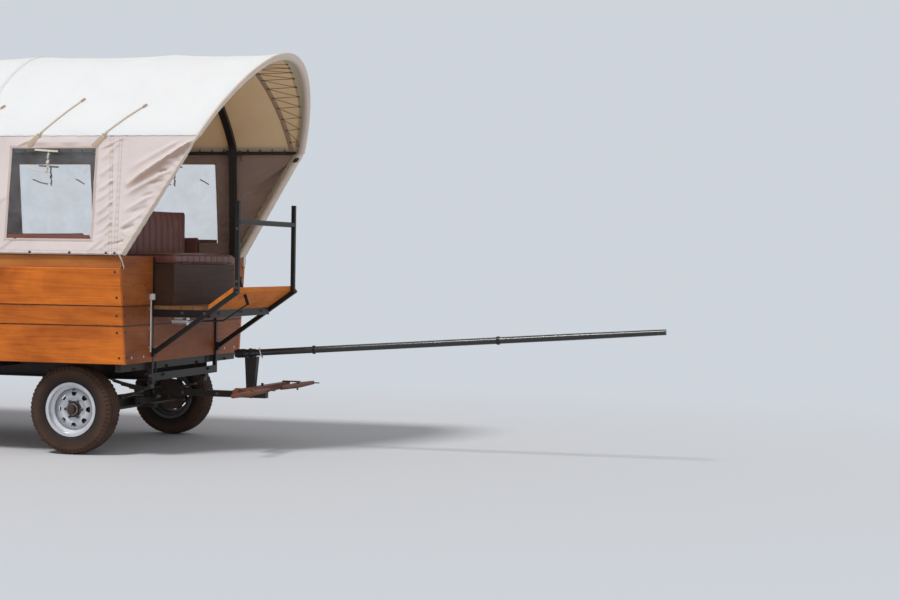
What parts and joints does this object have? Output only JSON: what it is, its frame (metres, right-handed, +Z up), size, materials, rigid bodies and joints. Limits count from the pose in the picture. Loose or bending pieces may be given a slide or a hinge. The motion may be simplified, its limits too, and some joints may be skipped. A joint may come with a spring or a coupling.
{
  "type": "covered passenger wagon",
  "caption": "Four-wheeled horse-drawn passenger wagon with a plank box, an arched canvas canopy with clear windows, a driver's platform and a steered front axle with pole",
  "frame": {"origin": "on the ground, under the middle of the overall length from the rear step to the pole's tip, on the centre line", "axes": "+X forward along the pole, +Y to the wagon's left, +Z up"},
  "size_m": [9.03, 2.5, 3.1459],
  "materials": {
    "black_steel": "satin black paint, dusty",
    "spring_steel": "black paint with rust film",
    "bow_steel": "dark brown paint",
    "stained_wood": "honey stained, weathered",
    "floor_wood": "worn boards",
    "dark_wood": "dark brown paint",
    "tree_wood": "red brown varnish",
    "canvas": "woven canvas, off-white",
    "clear_vinyl": "clear flexible sheet",
    "seat_cover": "red brown upholstery",
    "wheel_paint": "silver paint, dusty",
    "worn_steel": "rusty bare casting",
    "light_alloy": "cast",
    "pole_steel": "gloss black paint",
    "tyre": "dusty rubber"
  },
  "bodies": {
    "wagon": {"chassis": "black_steel", "front_springs": "spring_steel", "rear_springs": "spring_steel", "front_axle": "black_steel", "rear_axle": "black_steel", "floor": "floor_wood", "side_planks_left": "stained_wood", "side_planks_right": "stained_wood", "top_boards": "stained_wood", "front_boards": "stained_wood", "rear_boards": "stained_wood", "stakes": "black_steel", "bows": "bow_steel", "front_hoop": "bow_steel", "eave_rails": "bow_steel", "roof_canvas": "canvas", "curtain_left": "canvas", "curtain_right": "canvas", "window_panes": "clear_vinyl", "rear_curtain": "canvas", "bench_frames": "stained_wood", "bench_cushions": "seat_cover", "driver_locker": "dark_wood", "driver_cushions": "seat_cover", "platform_frame": "black_steel", "platform_deck": "floor_wood", "footboard": "stained_wood", "dash_rail": "black_steel", "brake_cylinder": "light_alloy", "brake_pedal": "black_steel", "door_pins": "black_steel", "rear_steps": "black_steel"},
    "steering_head": {"steering_head": "black_steel"},
    "drawbar": {"drawbar": "black_steel", "pole": "pole_steel"},
    "evener": {"evener": "tree_wood"},
    "singletree_left": {"singletree_left": "tree_wood"},
    "singletree_right": {"singletree_right": "tree_wood"},
    "knuckle_left": {"knuckle_left": "worn_steel"},
    "knuckle_right": {"knuckle_right": "worn_steel"},
    "tie_rod": {"tie_rod": "black_steel"},
    "wheel_front_left": {"wheel_front_left": "wheel_paint", "tyre_front_left": "tyre"},
    "wheel_front_right": {"wheel_front_right": "wheel_paint", "tyre_front_right": "tyre"},
    "wheel_rear_left": {"wheel_rear_left": "wheel_paint", "tyre_rear_left": "tyre"},
    "wheel_rear_right": {"wheel_rear_right": "wheel_paint", "tyre_rear_right": "tyre"},
    "rear_door": {"rear_door": "stained_wood"}
  },
  "joints": [
    {"name": "pole_swing", "type": "hinge", "parent": "wagon", "child": "steering_head", "pos_m": [0.18, 0, 0.343], "axis": [0, 0, 1], "range_deg": [-30, 30]},
    {"name": "pole_lift", "type": "hinge", "parent": "steering_head", "child": "drawbar", "pos_m": [0.295, 0, 0.43], "axis": [0, -1, 0], "range_deg": [0, 12]},
    {"name": "evener_pivot", "type": "hinge", "parent": "drawbar", "child": "evener", "pos_m": [1.277, 0, 0.48], "axis": [0, 0, 1], "range_deg": [-15, 15]},
    {"name": "singletree_left_pivot", "type": "hinge", "parent": "evener", "child": "singletree_left", "pos_m": [1.385, 0.52, 0.48], "axis": [0, 0, 1], "range_deg": [-8, 8]},
    {"name": "singletree_right_pivot", "type": "hinge", "parent": "evener", "child": "singletree_right", "pos_m": [1.385, -0.52, 0.48], "axis": [0, 0, 1], "range_deg": [-8, 8]},
    {"name": "steer_left", "type": "hinge", "parent": "wagon", "child": "knuckle_left", "pos_m": [0.103, 0.76, 0.343], "axis": [0, 0, 1], "range_deg": [-30, 30]},
    {"name": "steer_right", "type": "hinge", "parent": "wagon", "child": "knuckle_right", "pos_m": [0.103, -0.76, 0.343], "axis": [0, 0, 1], "range_deg": [-30, 30]},
    {"name": "tie_rod_pivot", "type": "hinge", "parent": "knuckle_left", "child": "tie_rod", "pos_m": [0.263, 0.76, 0.318], "axis": [0, 0, 1], "range_deg": [-30, 30]},
    {"name": "wheel_front_left_spin", "type": "hinge", "parent": "knuckle_left", "child": "wheel_front_left", "pos_m": [0.103, 0.925, 0.343], "axis": [0, 1, 0], "continuous": true},
    {"name": "wheel_front_right_spin", "type": "hinge", "parent": "knuckle_right", "child": "wheel_front_right", "pos_m": [0.103, -0.925, 0.343], "axis": [0, 1, 0], "continuous": true},
    {"name": "wheel_rear_left_spin", "type": "hinge", "parent": "wagon", "child": "wheel_rear_left", "pos_m": [-3.105, 0.925, 0.343], "axis": [0, 1, 0], "continuous": true},
    {"name": "wheel_rear_right_spin", "type": "hinge", "parent": "wagon", "child": "wheel_rear_right", "pos_m": [-3.105, -0.925, 0.343], "axis": [0, 1, 0], "continuous": true},
    {"name": "rear_door_swing", "type": "hinge", "parent": "wagon", "child": "rear_door", "pos_m": [-4.199, 0.42, 1], "axis": [0, 0, -1], "range_deg": [0, 110]}
  ],
  "couplings": [
    {"joint": "steer_left", "follows": "pole_swing", "ratio": 1},
    {"joint": "steer_right", "follows": "pole_swing", "ratio": 1},
    {"joint": "tie_rod_pivot", "follows": "pole_swing", "ratio": -1}
  ]
}
